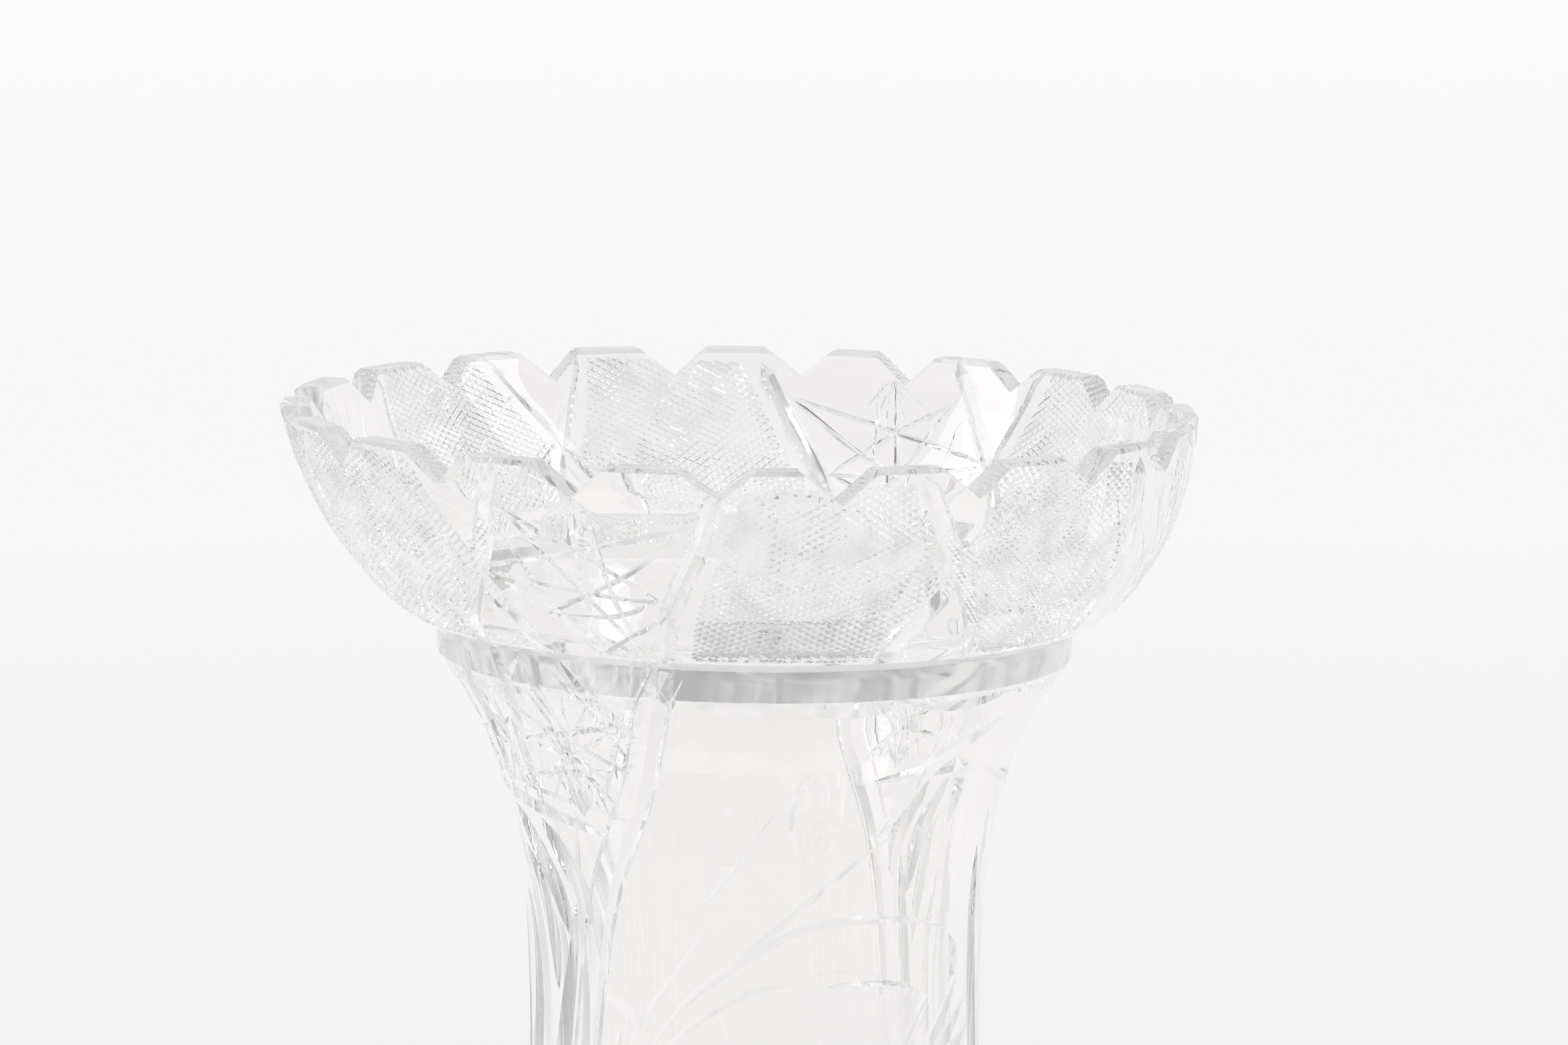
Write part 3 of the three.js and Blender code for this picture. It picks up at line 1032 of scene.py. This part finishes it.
def mitre_cut():
    """The deep mitres, smoothed but left a little soft."""
    made, nodes, links, shader = material("mitre_cut_crystal")
    links.new(tint(nodes, links, noise(nodes, links, 80), (0.985, 0.99, 0.987), (1.0, 1.0, 1.0)),
              shader.inputs["Base Color"])
    links.new(spread(nodes, links, noise(nodes, links, 120, 2), 0.1, 0.16), shader.inputs["Roughness"])
    bump(nodes, links, noise(nodes, links, 200, 2), 0.00002, shader)
    return made


def satin():
    """Engraving left matt: a fine pale frost with the stone's grain."""
    made, nodes, links, shader = material("satin_engraving")
    links.new(tint(nodes, links, noise(nodes, links, 900, 3), (0.975, 0.98, 0.977), (1.0, 1.0, 1.0)),
              shader.inputs["Base Color"])
    links.new(spread(nodes, links, noise(nodes, links, 300, 2), 0.11, 0.2), shader.inputs["Roughness"])
    bump(nodes, links, noise(nodes, links, 900, 2), 0.000006, shader)
    return made


def ring_bevel():
    """The underside of the ring: smoothed on a fine stone, never fully polished, its colour a painted
    grey shade, darker in places.
    """
    made, nodes, links, shader = material("ring_bevel_crystal_painted_shade")
    # Painted shade: the ring's underside tinted grey, darker in places.
    painted_shade_amount = spread(nodes, links, noise(nodes, links, 16, 1), 0.0, 1.0)
    links.new(tint(nodes, links, painted_shade_amount, (0.80, 0.825, 0.815), (0.95, 0.96, 0.955)),
              shader.inputs["Base Color"])
    links.new(spread(nodes, links, noise(nodes, links, 160, 3), 0.1, 0.22), shader.inputs["Roughness"])
    bump(nodes, links, noise(nodes, links, 240, 2), 0.00003, shader)
    return made


# ---------------------------------------------------------------- studio
SKY_TINT = (1.0, 0.991, 0.992)
SKY_STRENGTH = 1.155
# Levels of light against the sine of the height above the horizon: behind the vase, and in front.
STUDIO = [(0.0, 0.78), (0.25, 0.76), (0.45, 0.7), (0.7, 0.8), (1.0, 0.95)]
ROOM = [(0.0, 0.78), (0.07, 0.74), (0.15, 0.26), (0.45, 0.2), (0.7, 0.5), (1.0, 0.95)]
BLEND = 0.35
# Name, place, target, width, height, watts.
SOFTBOXES = [
    ("softbox_left", (-1.6, -0.4, 1.15), (0, 0, 0.25), 0.6, 1.2, 5),
    ("softbox_right", (1.6, -0.3, 1.15), (0, 0, 0.25), 0.6, 1.2, 5),
]
FLOOR_HALF = 9.0
FLOOR_GAP = 0.0002
# Painted glow of the paper, stronger away from the vase, with no lamp under it: (metres from the vase,
# strength).
PAINTED_FLOOR_GLOW = [(0, 0.07), (0.8, 0.11), (1.8, 0.2), (4.2, 0.25), (6.3, 0.19), (9, 0.16)]
SENSOR, LENS, FAR = 36.0, 190.8, 50
CAMERA_PLACE, CAMERA_DIP = (0.0054, -1.5, 0.5087), 8.73
BOUNCES, GLOSSY_BOUNCES = 64, 32


def painted_floor_glow(nodes, links):
    """The strength of the painted glow on the paper, by distance from the vase."""
    place = nodes.new("ShaderNodeTexCoord")
    away = nodes.new("ShaderNodeVectorMath")
    away.operation = "LENGTH"
    links.new(place.outputs["Object"], away.inputs[0])
    share = nodes.new("ShaderNodeMath")
    share.operation = "DIVIDE"
    share.inputs[1].default_value = FLOOR_HALF
    links.new(away.outputs["Value"], share.inputs[0])
    stops = [(metres / FLOOR_HALF, (level,) * 3) for metres, level in PAINTED_FLOOR_GLOW]
    return ramp(nodes, links, share.outputs["Value"], stops)


def floor_material():
    """Matt white paper with a painted glow, stronger away from the vase."""
    made, nodes, links, shader = material("white_paper")
    shader.inputs["Transmission Weight"].default_value = 0.0
    shader.inputs["Specular IOR Level"].default_value = 0.15
    fibres = noise(nodes, links, 300, 4)
    links.new(tint(nodes, links, fibres, (0.90, 0.895, 0.893), (0.925, 0.918, 0.918)),
              shader.inputs["Base Color"])
    links.new(spread(nodes, links, noise(nodes, links, 500), 0.75, 0.9), shader.inputs["Roughness"])
    # Painted glow: the paper emits light by distance from the vase.
    links.new(painted_floor_glow(nodes, links), shader.inputs["Emission Strength"])
    shader.inputs["Emission Color"].default_value = (*SKY_TINT, 1)
    return made


def add_floor():
    """The sheet of paper under the vase."""
    mesh = bpy.data.meshes.new("floor")
    corners = [(-1, -1), (1, -1), (1, 1), (-1, 1)]
    mesh.from_pydata([(x * FLOOR_HALF, y * FLOOR_HALF, 0) for x, y in corners], [], [(0, 1, 2, 3)])
    mesh.materials.append(floor_material())
    floor = new_object("floor", mesh)
    floor.location.z = LOW[2] - FLOOR_GAP


def add_softbox(name, place, target, width, height, watts):
    """A rectangular lamp turned to its target."""
    light = bpy.data.lights.new(name, "AREA")
    light.shape = "RECTANGLE"
    light.size, light.size_y, light.energy = width, height, watts
    lamp = bpy.data.objects.new(name, light)
    lamp.location = place
    away = mathutils.Vector(place) - mathutils.Vector(target)
    lamp.rotation_euler = away.to_track_quat("Z", "Y").to_euler()
    bpy.context.scene.collection.objects.link(lamp)


def sky_ramp(nodes, links, height, levels):
    """A ramp of light levels in the sky's tint."""
    stops = [(place, [level * share for share in SKY_TINT]) for place, level in levels]
    return ramp(nodes, links, height, stops)


def add_sky():
    """A white horizon all round; above it a white studio behind and a dimmer room in front."""
    world = bpy.data.worlds.new("studio")
    bpy.context.scene.world = world
    world.use_nodes = True
    nodes, links = world.node_tree.nodes, world.node_tree.links
    place = nodes.new("ShaderNodeTexCoord")
    split = nodes.new("ShaderNodeSeparateXYZ")
    links.new(place.outputs["Generated"], split.inputs["Vector"])
    side = nodes.new("ShaderNodeMapRange")
    side.inputs["From Min"].default_value = -BLEND
    side.inputs["From Max"].default_value = BLEND
    links.new(split.outputs["Y"], side.inputs["Value"])
    blend = nodes.new("ShaderNodeMix")
    blend.data_type = "RGBA"
    links.new(side.outputs["Result"], blend.inputs[0])
    links.new(sky_ramp(nodes, links, split.outputs["Z"], ROOM), blend.inputs[6])
    links.new(sky_ramp(nodes, links, split.outputs["Z"], STUDIO), blend.inputs[7])
    links.new(blend.outputs[2], nodes["Background"].inputs["Color"])
    nodes["Background"].inputs["Strength"].default_value = SKY_STRENGTH


def add_camera():
    """The photograph's view: from the front and a little above, with a long lens."""
    data = bpy.data.cameras.new("camera")
    data.sensor_width = SENSOR
    data.lens = LENS
    data.clip_end = FAR
    camera = bpy.data.objects.new("camera", data)
    camera.location = CAMERA_PLACE
    camera.rotation_euler = (math.radians(90 - CAMERA_DIP), 0, 0)
    bpy.context.scene.collection.objects.link(camera)
    bpy.context.scene.camera = camera


def add_vase():
    """The finished vase, riding on the root in place of its CAD node."""
    mesh = cut_glass()
    finish_surface(mesh)
    looks = {BLANK: crystal, CUT: wheel_cut, SATIN: satin, RING: ring_bevel, MITRE: mitre_cut,
             RIM: rim_painted_shade, FLUTE: flute_cut}
    for slot, look in looks.items():
        mesh.materials[slot] = look()
    mesh.name = "cut_crystal_vase"
    vase = new_object("cut_crystal_vase", mesh)
    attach(vase, "root")
    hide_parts(NODE)


add_camera()
add_vase()
add_floor()
add_sky()
for softbox in SOFTBOXES:
    add_softbox(*softbox)
bpy.context.scene.view_settings.view_transform = "Standard"
bpy.context.scene.cycles.max_bounces = BOUNCES
bpy.context.scene.cycles.transmission_bounces = BOUNCES
bpy.context.scene.cycles.glossy_bounces = GLOSSY_BOUNCES
